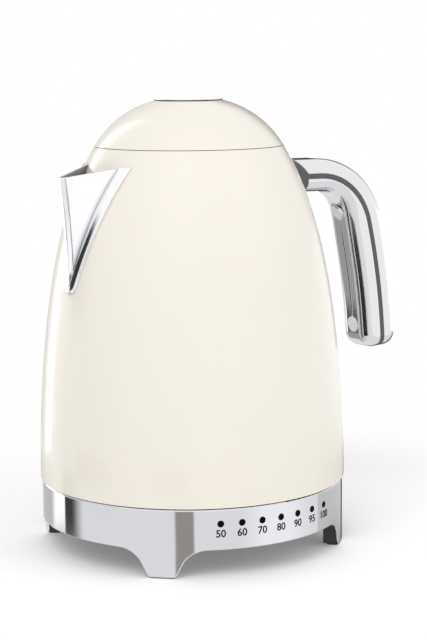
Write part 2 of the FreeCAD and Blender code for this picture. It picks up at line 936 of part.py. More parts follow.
def lid_liner():
    flange_top = lid_z + liner_t
    flange_r = dome_r(flange_top, -lid_wall) - seat_gap
    section = [
        (0, liner_z),
        (liner_r, liner_z),
        (liner_r, lid_z),
        (flange_r, lid_z),
        (flange_r, flange_top),
        (liner_r - liner_t, flange_top),
        (liner_r - liner_t, liner_z + liner_t),
        (0, liner_z + liner_t),
    ]
    liner = turned(section)
    liner = liner.cut(hinge_notch(0, lid_z - seat_gap, flange_top + seat_gap))
    half = knuckle_w / 2
    web = box(liner_r - liner_t / 2, hinge_x, -half, half, lid_z, lid_z + liner_t)
    barrel = rod(barrel_r, Vector(hinge_x, -half, neck_z), Vector(hinge_x, half, neck_z))
    knuckle = web.fuse(barrel).cut(hinge_bore(half))
    liner = fused([liner, knuckle])
    window = latch_w / 2 + fit_gap
    low = latch_z() - fit_gap
    high = latch_z() + latch_t + fit_gap
    return liner.cut(box(-liner_r - cut_past, -liner_r / 2, -window, window, low, high))


def lid_seal():
    low = latch_z() + latch_t + 4 * fit_gap
    return tube(liner_r + seat_gap, liner_r + lid_seal_w, low, low + lid_seal_h)


def latch_z():
    return liner_z + liner_t + fit_gap


def latch_nose_x():
    return -collar_bore_r - latch_bite


def lid_latch():
    plate_end = latch_cheek_w / 2
    half = latch_w / 2
    plate = box(latch_nose_x(), plate_end, -half, half, latch_z(), latch_z() + latch_t)
    top = cup_floor_z - guide_h - 2 * fit_gap
    cheek_in = half - latch_cheek_t
    cheeks = [
        box(-plate_end, plate_end, y, y + latch_cheek_t, latch_z() + latch_t, top)
        for y in (-half, cheek_in)
    ]
    return fused([plate] + cheeks).cut(latch_slot())


def latch_slot():
    """Slanted slot for the cross pin, one across for one down."""
    slot_r = cross_pin_r + fit_gap
    z = stem_foot_z + cross_pin_lift
    ends = [Vector(0, -latch_w, z), Vector(-cap_travel, -latch_w, z - cap_travel)]
    across = Vector(1, 0, -1).normalize() * slot_r
    corners = [ends[0] + across, ends[0] - across, ends[1] - across, ends[1] + across]
    middle = Part.Face(Part.makePolygon(corners + corners[:1])).extrude(Vector(0, 2 * latch_w, 0))
    rounds = [rod(slot_r, p, p + Vector(0, 2 * latch_w, 0)) for p in ends]
    return fused([middle] + rounds)


def button_cup():
    guide_r = stem_r + fit_gap
    wall_r = cap_hole_r + cup_wall
    section = [
        (guide_r, cup_floor_z - guide_h),
        (guide_r + guide_wall, cup_floor_z - guide_h),
        (guide_r + guide_wall, cup_floor_z - cup_wall),
        (wall_r, cup_floor_z - cup_wall),
        (wall_r, dome_z(wall_r, -lid_wall) - seat_gap),
        (cap_hole_r, dome_z(wall_r, -lid_wall) - seat_gap),
        (cap_hole_r, cup_floor_z),
        (guide_r, cup_floor_z),
    ]
    return turned(section)


def cap_z():
    return total_h - cap_crown - cap_t


def lid_button_cap():
    """Round plate with a shallow crown, cut from a large sphere."""
    crown_r = (cap_r**2 + cap_crown**2) / (2 * cap_crown)
    ball = Part.makeSphere(crown_r, Vector(0, 0, total_h - crown_r))
    return disc(cap_r, cap_z(), total_h).common(ball)


def lid_button_stem():
    plate_z = cap_z() - seat_gap
    stem = disc(stem_r, stem_foot_z, plate_z)
    plate = disc(cap_r - cap_plate_inset, plate_z - cap_plate_t, plate_z)
    z = stem_foot_z + cross_pin_lift
    pin = rod(cross_pin_r, Vector(0, -cross_pin_len / 2, z), Vector(0, cross_pin_len / 2, z))
    return fused([plate, stem, pin])


def lid_button_spring():
    """Coil between the cup's floor and the button's plate, in arcs of a quarter turn."""
    low = cup_floor_z + seat_gap + spring_wire_r
    high = cap_z() - cap_plate_t - 2 * seat_gap - spring_wire_r
    steps = 4 * spring_turns
    rise = (high - low) / steps

    def coil_point(step):
        return polar(spring_r, 90 * step, low + rise * step)

    arcs = []
    for step in range(steps):
        points = [coil_point(step + share) for share in (0, 0.5, 1)]
        arcs.append(Part.Arc(*points).toShape())
    path = Part.Wire(arcs)
    start = arcs[0].tangentAt(arcs[0].FirstParameter)
    ring = Part.Wire(Part.makeCircle(spring_wire_r, coil_point(0), start))
    return path.makePipeShell([ring], True, False)


# Handle: a nearly level arm, a bend and a long gentle curve down the grip, given by their headings
def bend_centre():
    start = Vector(bend_x, 0, arm_z - bend_x * math.tan(math.radians(arm_drop)))
    return start - handle_normal(arm_drop) * bend_r


def grip_centre():
    return bend_centre() + handle_normal(bend_end) * (bend_r - grip_r)


def handle_normal(heading):
    turn = math.radians(heading)
    return Vector(math.sin(turn), 0, math.cos(turn))


def handle_along(heading):
    turn = math.radians(heading)
    return Vector(math.cos(turn), 0, -math.sin(turn))


def handle_point(heading, offset=0.0):
    if heading <= bend_end:
        return bend_centre() + handle_normal(heading) * (bend_r + offset)
    return grip_centre() + handle_normal(heading) * (grip_r + offset)


def handle_depths(heading):
    """Height over and under the parting line, which grows through the bend."""
    t = min(max((heading - arm_drop) / (bend_end - arm_drop), 0.0), 1.0)
    ease = t * t * (3 - 2 * t)
    return arm_over + (grip_over - arm_over) * ease, arm_under + (grip_under - arm_under) * ease


def arm_start():
    return handle_point(arm_drop) - handle_along(arm_drop) * (bend_x - neck_r)


def crossing(first, first_heading, second, second_heading):
    """Where two lines in the handle's plane meet, each given by a point and a heading."""
    along = handle_along(first_heading)
    normal = handle_normal(second_heading)
    return first + along * ((second - first).dot(normal) / along.dot(normal))


def handle_side(arm_offset, grip_offset, end):
    """Corners of one side of the outline, from the body to the end of the grip."""
    upper = bend_end + (grip_end - bend_end) / 4
    lower = grip_end - (grip_end - bend_end) / 4
    start = arm_start() + handle_normal(arm_drop) * arm_offset
    upper_point = handle_point(upper, grip_offset)
    lower_point = handle_point(lower, grip_offset)
    return [
        start,
        crossing(start, arm_drop, upper_point, upper),
        crossing(upper_point, upper, lower_point, lower),
        crossing(lower_point, lower, end, grip_end + 90),
    ]


def handle_solid():
    """Side outline of the handle, pushed across its width and rounded all along."""
    end = handle_point(grip_end)
    over = handle_side(arm_over, grip_over, end)
    under = handle_side(-arm_under, -grip_under, end)
    over_rounds = [0, bend_over_r, grip_r + grip_over, handle_end_round]
    under_rounds = [0, bend_under_r, grip_r - grip_under, handle_end_round]
    corners = [(p.x, p.z, r) for p, r in zip(over, over_rounds)]
    corners += [(p.x, p.z, r) for p, r in reversed(list(zip(under, under_rounds)))]
    solid = Part.Face(outline(corners, in_side_plane)).extrude(Vector(0, handle_w, 0))
    solid.translate(Vector(0, -handle_w / 2, 0))
    sides = [e for e in solid.Edges if e.BoundBox.YLength < 1e-6 and e.BoundBox.XMax > neck_r + 1]
    return solid.makeFillet(handle_round, sides)


def handle_layer(low, high):
    """Slab that follows the parting line between two offsets from it."""
    past = grip_end + grip_past

    def edges(offset):
        start = arm_start() + handle_normal(arm_drop) * offset
        points = [handle_point(h, offset) for h in (arm_drop, (arm_drop + bend_end) / 2, bend_end)]
        grip = [handle_point(h, offset) for h in (bend_end + 1e-9, (bend_end + past) / 2, past)]
        grip[0] = points[2]
        line = Part.makeLine(start, points[0])
        return start, grip[2], [line, Part.Arc(*points).toShape(), Part.Arc(*grip).toShape()]

    low_start, low_end, low_edges = edges(low)
    high_start, high_end, high_edges = edges(high)
    sides = [Part.makeLine(low_end, high_end), Part.makeLine(high_start, low_start)]
    wire = Part.Wire(Part.__sortEdges__(low_edges + high_edges + sides))
    layer = Part.Face(wire).extrude(Vector(0, 2 * handle_w, 0))
    layer.translate(Vector(0, -handle_w, 0))
    return layer


def root_zone():
    """Side outline of the grey root: upright below the parting line, slanted above it."""
    low = arm_z - 2 * arm_under
    high = arm_z + 2 * arm_over
    slant = (root_x - root_top_x) / (arm_over - core_t / 2)
    top_x = root_top_x - slant * arm_over
    parting = arm_z - root_x * math.tan(math.radians(arm_drop))
    corners = [
        Vector(0, 0, low),
        Vector(root_x, 0, low),
        Vector(root_x, 0, parting + core_t / 2),
        Vector(top_x, 0, high),
        Vector(0, 0, high),
    ]
    zone = Part.Face(Part.makePolygon(corners + corners[:1])).extrude(Vector(0, 2 * handle_w, 0))
    zone.translate(Vector(0, -handle_w, 0))
    return zone


def handle_bolt_axes():
    """Bolts square to the wall, from its inner face into the root."""
    axes = []
    z = arm_z - arm_under / 2
    sag = bolt_head_r**2 / bell_r(z)
    radius = bell_r(z, -body_wall - seat_gap - sag)
    for y in (-bolt_spacing / 2, bolt_spacing / 2):
        angle = math.degrees(math.asin(y / radius))
        normal = polar(1, angle, -bell_slope(z)).normalize()
        axes.append((polar(radius, angle, z), normal))
    return axes


def handle_core(solid):
    core = solid.common(handle_layer(-core_t / 2, core_t / 2))
    root = solid.common(root_zone())
    core = fused([core, root]).cut(bell_solid(seat_gap, body_z, neck_z))
    core = core.cut(Part.makeCompound(handle_screw_holes(handle_screw_r + pin_gap)))
    for start, along in handle_bolt_axes():
        core = core.cut(rod(bolt_r + pin_gap, start, start + along * (bolt_len + seat_gap)))
    return core


def handle_outer_shell(solid):
    shell = solid.common(handle_layer(core_t / 2, 3 * grip_over)).cut(root_zone())
    shell = shell.cut(bell_solid(seat_gap, body_z, neck_z))
    return shell.cut(Part.makeCompound(handle_screw_holes(handle_screw_r + pin_gap)))


def handle_inner_shell(solid):
    shell = solid.common(handle_layer(-bend_r / 2 - grip_under / 2, -core_t / 2)).cut(root_zone())
    shell = shell.cut(Part.makeCompound(handle_screw_holes(handle_screw_r + pin_gap)))
    for heading in handle_screw_headings:
        normal = handle_normal(heading)
        face = handle_point(heading, -handle_depths(heading)[1])
        depth = handle_cap_t + handle_screw_head_h
        seat = face + normal * handle_cap_t
        shell = shell.cut(rod(handle_cap_r + pin_gap, face - normal * grip_under, seat))
        shell = shell.cut(rod(handle_screw_head_r + pin_gap, face, face + normal * (depth + seat_gap)))
    return shell.cut(handle_grooves())


def handle_screw_holes(radius):
    holes = []
    for heading in handle_screw_headings:
        under = handle_depths(heading)[1]
        start = handle_point(heading, -under)
        holes.append(rod(radius, start, handle_point(heading, core_t / 2 + handle_screw_reach + seat_gap)))
    return holes


def handle_screws():
    screws = []
    for heading in handle_screw_headings:
        under = handle_depths(heading)[1]
        top = -under + handle_cap_t + seat_gap
        seat = top + handle_screw_head_h
        head = rod(handle_screw_head_r, handle_point(heading, top), handle_point(heading, seat))
        end = handle_point(heading, core_t / 2 + handle_screw_reach)
        screws.append(fused([head, rod(handle_screw_r, handle_point(heading, seat), end)]))
    return screws


def handle_screw_caps():
    caps = []
    for heading in handle_screw_headings:
        under = handle_depths(heading)[1]
        inner = handle_point(heading, handle_cap_t - under)
        caps.append(rod(handle_cap_r, handle_point(heading, -under), inner))
    return caps


def handle_groove(y, width, depth, start, stop):
    """Groove down the inside of the grip between two headings on either side of the bend's end."""
    headings = (start, (start + bend_end) / 2, bend_end, (bend_end + stop) / 2, stop)

    def edges(offset):
        p = [handle_point(h, offset) for h in headings]
        return p[0], p[4], [Part.Arc(*p[:3]).toShape(), Part.Arc(*p[2:]).toShape()]

    deep_start, deep_end, deep = edges(depth - grip_under)
    out_start, out_end, out = edges(-grip_under * 1.6)
    sides = [Part.makeLine(deep_end, out_end), Part.makeLine(out_start, deep_start)]
    face = Part.Face(Part.Wire(Part.__sortEdges__(deep + out + sides)))
    groove = face.extrude(Vector(0, width, 0))
    groove.translate(Vector(0, y - width / 2, 0))
    return groove


def handle_grooves():
    """A long groove on each rounded edge of the grip, and a fine line between the screw caps."""
    grooves = [handle_groove(0, fine_line_w, fine_line_depth, fine_line_start, fine_line_stop)]
    for y in (-groove_y, groove_y):
        grooves.append(handle_groove(y, groove_w, groove_depth, groove_start, groove_stop))
    return Part.makeCompound(grooves)


def handle_bolts():
    bolts = []
    for start, along in handle_bolt_axes():
        head = rod(bolt_head_r, start - along * bolt_head_h, start)
        bolts.append(fused([head, rod(bolt_r, start, start + along * bolt_len)]))
    return bolts


os.makedirs("parts", exist_ok=True)

save("base_ring", base_ring())
save("base_tray", base_tray())
save("base_pan", base_pan())
save("foot_pads", Part.makeCompound(foot_pads()))
save("base_connector", base_connector())
save("contact_pin", contact_pin())
save("light_bar", light_bar())
save("temperature_lights", Part.makeCompound(temperature_lights()))
save("control_board", control_board())
save("temperature_button", push_button(button_ys()[0]))
save("start_button", push_button(button_ys()[1]))
save("switch_board", switch_board())
save("cord_gland", cord_gland())
save("base_screws", Part.makeCompound(base_screws()))

save("kettle_coupler", kettle_coupler())
save("body_shell", body_shell())
save("heater_plate", heater_plate())
save("heater_seal", heater_seal())
save("heat_spreader", heat_spreader())
save("heating_element", heating_element())
save("temperature_sensor", temperature_sensor())
save("bottom_cover", bottom_cover())
save("bottom_screws", Part.makeCompound(bottom_screws()))
save("spout", spout())
save("spout_filter", spout_filter())
save("neck_collar", neck_collar())
save("hinge_pin", hinge_pin())
save("water_window", water_window())
save("window_gasket", window_gasket())

handle = handle_solid()
save("handle_core", handle_core(handle))
save("handle_outer_shell", handle_outer_shell(handle))
save("handle_inner_shell", handle_inner_shell(handle))
save("handle_screws", Part.makeCompound(handle_screws()))
save("handle_screw_caps", Part.makeCompound(handle_screw_caps()))
save("handle_bolts", Part.makeCompound(handle_bolts()))

save("lid_dome", lid_dome())
save("lid_liner", lid_liner())
save("lid_seal", lid_seal())
save("button_cup", button_cup())
save("lid_button_cap", lid_button_cap())
save("lid_button_stem", lid_button_stem())
save("lid_button_spring", lid_button_spring())
save("lid_latch", lid_latch())
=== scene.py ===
"""Electric kettle with a cream enamel body on a round polished base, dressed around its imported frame."""

import json
import math

import bpy
from mathutils import Matrix, Vector


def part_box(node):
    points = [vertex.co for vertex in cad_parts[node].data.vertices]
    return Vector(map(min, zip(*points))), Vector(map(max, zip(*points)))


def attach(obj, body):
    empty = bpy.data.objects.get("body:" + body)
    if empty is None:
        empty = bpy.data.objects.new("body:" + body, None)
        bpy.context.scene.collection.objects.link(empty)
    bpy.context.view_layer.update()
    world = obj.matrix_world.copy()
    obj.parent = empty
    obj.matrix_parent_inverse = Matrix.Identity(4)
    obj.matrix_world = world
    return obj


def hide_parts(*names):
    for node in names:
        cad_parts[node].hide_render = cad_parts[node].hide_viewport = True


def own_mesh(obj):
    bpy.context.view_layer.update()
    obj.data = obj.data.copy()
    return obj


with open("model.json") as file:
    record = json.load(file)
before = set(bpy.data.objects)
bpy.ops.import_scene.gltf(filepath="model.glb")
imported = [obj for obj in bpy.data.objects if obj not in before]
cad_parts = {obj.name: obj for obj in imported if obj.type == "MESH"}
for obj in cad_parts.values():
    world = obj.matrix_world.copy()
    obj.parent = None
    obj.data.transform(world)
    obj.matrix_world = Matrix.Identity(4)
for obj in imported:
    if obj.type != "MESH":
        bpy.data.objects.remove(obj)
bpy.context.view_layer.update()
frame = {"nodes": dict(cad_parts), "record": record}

bl_info = {
    "name": "Electric kettle",
    "version": (1, 0, 0),
    "blender": (4, 5, 0),
    "location": "View3D > Sidebar > Kettle",
    "description": "Dresses the packed electric kettle with its finishes, numbers and studio",
    "category": "Object",
}

# Printed numbers: values, pitch round the band, a figure's share of the type size, steps of a curve
TEMPERATURES = (50, 60, 70, 80, 90, 95, 100)
LIGHT_PITCH = math.radians(7.9)
FIGURE_SHARE = 0.72
PRINT_CURVE_STEPS = 6

# Dark sheet in the spout, a painted dark reflection: merging distance, clear of the neck, and how squarely a
# cheek's face looks sideways
MERGE_REACH = 0.000001
BEAK_CLEAR = 0.004
SIDEWAYS_SHARE = 0.5

# Button spring: facets of the wire, steps of one turn, angle up to which it is shaded smooth
WIRE_SIDES = 12
COIL_STEPS = 48
SMOOTH_ANGLE = math.radians(40)

# Patterns: the range that the noise fills
NOISE_LOW = 0.3
NOISE_HIGH = 0.7

# Polished metal: how deep into an inner corner the painted shade reaches, its tone, and samples of both
# nodes
PAINTED_SHADE_REACH = 0.003
PAINTED_SHADE_TONE = 0.06
PAINTED_SHADE_SAMPLES = 8
EDGE_SAMPLES = 6

# Studio: floor, shadow, lamps and camera
FLOOR_SIZE = 12.0
PAPER_TONE = (0.95, 0.95, 0.95)
PAPER_GLOW = 0.16
SHADOW_REACH = 0.18
LAMP_AIM = (0.0, 0.0, 0.12)
SENSOR_HEIGHT = 36.0

# Each lamp: place, side of its square and power
LAMPS = {
    "key_left": ((-1.1, -0.9, 1.5), 1.2, 11.0),
    "fill_right": ((0.9, -1.3, 1.0), 1.0, 4.0),
}

# Light of the room on matt surfaces, and its tone in polished metal where no card stands
EVEN_TONE = (1.0, 0.995, 0.985)
LOW_TONE = (0.90, 0.90, 0.915)

# Each card: azimuth from, to and the softness of both edges, elevation likewise, in degrees, and its tone
BAND_LEVEL = (-18.5, -12.6, 0.8, 0.5)
NOSE_LEVEL = (-13.0, -10.3, 0.4, 0.4)
STUDIO_CARDS = {
    "room_above_table": ((-181.0, 181.0, 0.5, 0.5), (-12.0, 91.0, 1.0, 0.5), (1.08, 1.08, 1.09)),
    "pale_wall_by_camera": ((-150.0, -100.0, 4.0, 4.0), (-9.5, 25.0, 6.0, 8.0), (1.14, 1.15, 1.17)),
    "grey_wall_left": ((142.0, 181.0, 3.0, 0.5), (-10.0, 14.0, 1.0, 4.0), (0.78, 0.78, 0.80)),
    "grey_screen_behind": ((60.0, 88.0, 1.0, 2.5), (-12.0, 36.0, 0.6, 22.0), (0.65, 0.66, 0.63)),
    "window_behind": ((91.0, 104.0, 2.5, 9.0), (-12.0, 45.0, 0.6, 18.0), (3.4, 3.4, 3.4)),
    "pale_wall_right": ((-35.0, 30.0, 8.0, 8.0), (-10.0, 3.0, 1.0, 1.0), (1.32, 1.32, 1.33)),
    "low_pale_front": ((-78.0, -34.0, 12.0, 16.0), BAND_LEVEL, (1.08, 1.08, 1.10)),
    "low_grey_behind": ((56.0, 101.0, 1.0, 1.0), BAND_LEVEL, (0.60, 0.60, 0.61)),
    "low_grey_right": ((-13.7, 37.0, 0.8, 1.0), BAND_LEVEL, (0.66, 0.655, 0.665)),
    "low_dark_right": ((37.0, 60.0, 1.5, 1.0), BAND_LEVEL, (0.06, 0.06, 0.06)),
    "nose_line_front": ((-152.0, -128.0, 1.5, 1.5), NOSE_LEVEL, (0.03, 0.03, 0.03)),
    "nose_line_left": ((140.0, 174.0, 1.5, 1.5), NOSE_LEVEL, (0.03, 0.03, 0.03)),
    "low_brown_front": ((-137.0, -123.0, 0.8, 1.0), (-18.5, -13.2, 0.8, 0.5), (0.36, 0.33, 0.31)),
    "window_left": ((105.5, 122.4, 0.8, 0.4), (-15.3, 40.0, 0.4, 4.0), (1.30, 1.30, 1.30)),
    "low_dark_left": ((122.6, 139.0, 0.4, 8.0), (-30.0, -12.3, 10.0, 0.6), (0.06, 0.058, 0.055)),
    "dark_strip_left": ((122.6, 142.0, 0.4, 6.0), (1.0, 18.0, 2.0, 4.0), (0.04, 0.04, 0.04)),
    "grey_table_left": ((105.0, 140.0, 4.0, 4.0), (-60.0, -16.0, 4.0, 1.0), (0.40, 0.385, 0.395)),
    "dark_strip_right": ((26.0, 54.3, 14.0, 0.5), (1.6, 28.0, 0.5, 10.0), (0.03, 0.03, 0.03)),
    "dark_table_right": ((4.0, 56.0, 14.0, 6.0), (-46.0, -16.0, 12.0, 1.5), (0.05, 0.05, 0.05)),
}


class KettleFinishes(bpy.types.PropertyGroup):
    """Colours of the finishes."""

    enamel: bpy.props.FloatVectorProperty(
        name="Enamel",
        description="Colour of the body and the lid",
        subtype="COLOR",
        min=0.0,
        max=1.0,
        default=(0.90, 0.855, 0.765),
    )
    chrome: bpy.props.FloatVectorProperty(
        name="Chrome",
        description="Tint of the polished metal",
        subtype="COLOR",
        min=0.0,
        max=1.0,
        default=(0.76, 0.76, 0.775),
    )
    charcoal: bpy.props.FloatVectorProperty(
        name="Charcoal",
        description="Colour of the handle's core and its root",
        subtype="COLOR",
        min=0.0,
        max=1.0,
        default=(0.085, 0.083, 0.085),
    )
    print_ink: bpy.props.FloatVectorProperty(
        name="Print",
        description="Colour of the printed numbers",
        subtype="COLOR",
        min=0.0,
        max=1.0,
        default=(0.006, 0.006, 0.007),
    )


class KettleSizes(bpy.types.PropertyGroup):
    """Sizes that the frame does not give."""

    number_height: bpy.props.FloatProperty(
        name="Number height",
        description="Height of the printed temperature numbers",
        unit="LENGTH",
        min=0.002,
        max=0.008,
        default=0.0040,
    )
    number_weight: bpy.props.FloatProperty(
        name="Number weight",
        description="How far the strokes of the numbers are thickened on each side",
        unit="LENGTH",
        min=0.0,
        max=0.0005,
        default=0.0001,
    )
    number_drop: bpy.props.FloatProperty(
        name="Number drop",
        description="From the middle of the lights to the middle of the numbers",
        unit="LENGTH",
        min=0.003,
        max=0.010,
        default=0.0054,
    )
    spring_wire: bpy.props.FloatProperty(
        name="Spring wire",
        description="Thickness of the button spring's wire",
        unit="LENGTH",
        min=0.0005,
        max=0.002,
        default=0.001,
    )
    spring_turns: bpy.props.IntProperty(
        name="Spring turns",
        description="Turns of the button spring",
        min=2,
        max=12,
        default=3,
    )
    # The sheet in the spout is a painted dark reflection over the chrome inside the beak.
    lining_lift: bpy.props.FloatProperty(
        name="Lining lift",
        description="How far the lining stands off the spout's wall",
        unit="LENGTH",
        min=0.00002,
        max=0.0005,
        default=0.00005,
    )
    lining_thickness: bpy.props.FloatProperty(
        name="Lining thickness",
        description="Thickness of the spout's lining",
        unit="LENGTH",
        min=0.00005,
        max=0.001,
        default=0.00015,
    )
    print_depth: bpy.props.FloatProperty(
        name="Print depth",
        description="How far the print stands on the polished band",
        unit="LENGTH",
        min=0.00002,
        max=0.0005,
        default=0.00006,
    )


class KettleStudio(bpy.types.PropertyGroup):
    """The camera's place and lens and the light's level."""

    camera_place: bpy.props.FloatVectorProperty(
        name="Camera",
        description="Where the camera stands",
        subtype="TRANSLATION",
        default=(-0.5502, -0.8283, 0.2787),
    )
    camera_aim: bpy.props.FloatVectorProperty(
        name="Aim",
        description="Direction in which the camera looks",
        subtype="DIRECTION",
        default=(0.5572, 0.8161, -0.1534),
    )
    camera_roll: bpy.props.FloatProperty(
        name="Roll",
        description="Turn of the camera about its own axis",
        subtype="ANGLE",
        default=math.radians(-0.49),
    )
    camera_lens: bpy.props.FloatProperty(
        name="Lens",
        description="Focal length on a 36 mm high frame",
        default=101.16,
    )
    room_light: bpy.props.FloatProperty(
        name="Room light",
        description="Level of the light from all around",
        default=0.69,
    )


# Shared helpers


def sockets(node, **values):
    """Set a node's own sockets by their names, with _ for a space."""
    for name, value in values.items():
        node.inputs[name.replace("_", " ")].default_value = value


def add_node(tree, kind, **values):
    """A new node with some of its sockets set."""
    node = tree.nodes.new(kind)
    sockets(node, **values)
    return node


def add_math(tree, operation, *sources):
    """A new math node on the given outputs, and its own output."""
    node = tree.nodes.new("ShaderNodeMath")
    node.operation = operation
    for source, socket in zip(sources, node.inputs):
        tree.links.new(source, socket)
    return node.outputs["Value"]


def add_mix(tree, share, first, second):
    """Mix two shaders by a share, and give the mixed shader's output."""
    node = tree.nodes.new("ShaderNodeMixShader")
    for source, socket in zip((share, first, second), node.inputs):
        tree.links.new(source, socket)
    return node.outputs["Shader"]


def start_material(name, colour, roughness, metallic=0.0, **values):
    """A new material with one Principled shader."""
    material = bpy.data.materials.new(name)
    material.use_nodes = True
    shader = material.node_tree.nodes["Principled BSDF"]
    sockets(shader, Base_Color=(*colour, 1.0), Roughness=roughness, Metallic=metallic, **values)
    return material


def feed(material, source, socket):
    """Let a node's output drive a socket of the material's shader."""
    tree = material.node_tree
    tree.links.new(source, tree.nodes["Principled BSDF"].inputs[socket])


def object_noise(material, scale, detail=3.0, stretch=(1.0, 1.0, 1.0)):
    """Noise on Object coordinates, drawn out by stretch."""
    tree = material.node_tree
    place = tree.nodes.new("ShaderNodeTexCoord")
    mapping = add_node(tree, "ShaderNodeMapping", Scale=stretch)
    noise = add_node(tree, "ShaderNodeTexNoise", Scale=scale, Detail=detail)
    tree.links.new(place.outputs["Object"], mapping.inputs["Vector"])
    tree.links.new(mapping.outputs["Vector"], noise.inputs["Vector"])
    return noise.outputs["Fac"]


def add_bump(material, pattern, strength, distance):
    """Let a pattern raise the surface."""
    tree = material.node_tree
    bump = add_node(tree, "ShaderNodeBump", Strength=strength, Distance=distance)
    tree.links.new(pattern, bump.inputs["Height"])
    feed(material, bump.outputs["Normal"], "Normal")


def add_spread(material, pattern, low, high):
    """Let a pattern move the roughness between two values."""
    tree = material.node_tree
    spread = add_node(
        tree, "ShaderNodeMapRange", From_Min=NOISE_LOW, From_Max=NOISE_HIGH, To_Min=low, To_Max=high
    )
    tree.links.new(pattern, spread.inputs["Value"])
    feed(material, spread.outputs["Result"], "Roughness")


def add_tones(material, source, low, high, start=NOISE_LOW, stop=NOISE_HIGH):
    """Let a pattern move the base colour from a low tone at start to a high tone at stop."""
    tree = material.node_tree
    ramp = tree.nodes.new("ShaderNodeValToRGB")
    for element, position, tone in zip(ramp.color_ramp.elements, (start, stop), (low, high)):
        element.position = position
        element.color = (*tone, 1.0)
    tree.links.new(source, ramp.inputs["Fac"])
    feed(material, ramp.outputs["Color"], "Base Color")


def toned(colour, factor):
    """A lighter or darker tone of a colour."""
    return tuple(min(c * factor, 1.0) for c in colour)


def enamel_material(colour):
    """Fired gloss enamel: a clear coat over cream with a very faint orange peel."""
    material = start_material("cream_enamel", colour, 0.32, Coat_Weight=0.6, Coat_Roughness=0.04)
    cloud = object_noise(material, 9.0)
    add_tones(material, cloud, toned(colour, 0.985), toned(colour, 1.012))
    peel = object_noise(material, 420.0, 2.0)
    add_bump(material, peel, 0.02, 0.0002)
    return material


def chrome_material(name, colour, edge_radius, painted_shade_full_below, painted_shade_gone_above):
    """Polished plating with a faint haze of wiping marks, softened edges and painted shade darkening its
    inner corners.
    """
    material = start_material(name, colour, 0.05, 1.0)
    haze = object_noise(material, 60.0, 4.0)
    add_spread(material, haze, 0.035, 0.075)
    tree = material.node_tree
    edge = add_node(tree, "ShaderNodeBevel", Radius=edge_radius)
    edge.samples = EDGE_SAMPLES
    feed(material, edge.outputs["Normal"], "Normal")
    # Painted shade: ambient occlusion darkens the base colour towards a near-black tone in inner corners,
    # grooves and seams.
    painted_shade_occlusion = add_node(tree, "ShaderNodeAmbientOcclusion", Distance=PAINTED_SHADE_REACH)
    painted_shade_occlusion.samples = PAINTED_SHADE_SAMPLES
    painted_shade_occlusion.only_local = True
    shade = toned(colour, PAINTED_SHADE_TONE)
    add_tones(material, painted_shade_occlusion.outputs["AO"], shade, colour, painted_shade_full_below, painted_shade_gone_above)
    return material


def moulded_material(name, colour, roughness, grain_scale=900.0, depth=0.25):
    """Moulded plastic or rubber with a fine spark-eroded grain."""
    material = start_material(name, colour, roughness)
    grain = object_noise(material, grain_scale, 2.0)
    add_tones(material, grain, toned(colour, 0.88), toned(colour, 1.12))
    add_spread(material, grain, roughness * 0.85, min(roughness * 1.15, 1.0))
    add_bump(material, grain, depth, 0.0001)
    return material


def brushed_material(name, colour, roughness, stretch=(1.0, 1.0, 1.0)):
    """Sheet metal with fine brush lines."""
    material = start_material(name, colour, roughness, 1.0)
    lines = object_noise(material, 1100.0, 3.0, stretch)
    add_tones(material, lines, toned(colour, 0.95), toned(colour, 1.04))
    add_spread(material, lines, roughness * 0.9, roughness * 1.12)
    add_bump(material, lines, 0.05, 0.0001)
    return material


def board_material():
    """Green board with paler tracks."""
    material = start_material("board_green", (0.03, 0.16, 0.07), 0.35)
    tree = material.node_tree
    place = tree.nodes.new("ShaderNodeTexCoord")
    tracks = add_node(
        tree,
        "ShaderNodeTexBrick",
        Scale=160.0,
        Mortar_Size=0.06,
        Color1=(0.02, 0.13, 0.055, 1.0),
        Color2=(0.025, 0.15, 0.06, 1.0),
        Mortar=(0.09, 0.30, 0.14, 1.0),
    )
    tree.links.new(place.outputs["Object"], tracks.inputs["Vector"])
    feed(material, tracks.outputs["Color"], "Base Color")
    return material


def clear_material():
    """Clear window with a cool tint."""
    material = start_material(
        "window_clear", (0.86, 0.90, 0.92), 0.06, Transmission_Weight=0.9, IOR=1.49
    )
    ripple = object_noise(material, 120.0, 2.0)
    add_spread(material, ripple, 0.04, 0.10)
    return material


def lens_material():
    """Dark lens of a light that is off."""
    material = start_material("light_lens", (0.002, 0.002, 0.002), 0.4, Specular_IOR_Level=0.04)
    specks = object_noise(material, 700.0, 2.0)
    add_spread(material, specks, 0.32, 0.5)
    return material


def ink_material(colour):
    """Matt printing ink."""
    material = moulded_material("number_ink", colour, 0.6)
    sockets(material.node_tree.nodes["Principled BSDF"], Specular_IOR_Level=0.04)
    return material


# Operators, one for each group of pieces


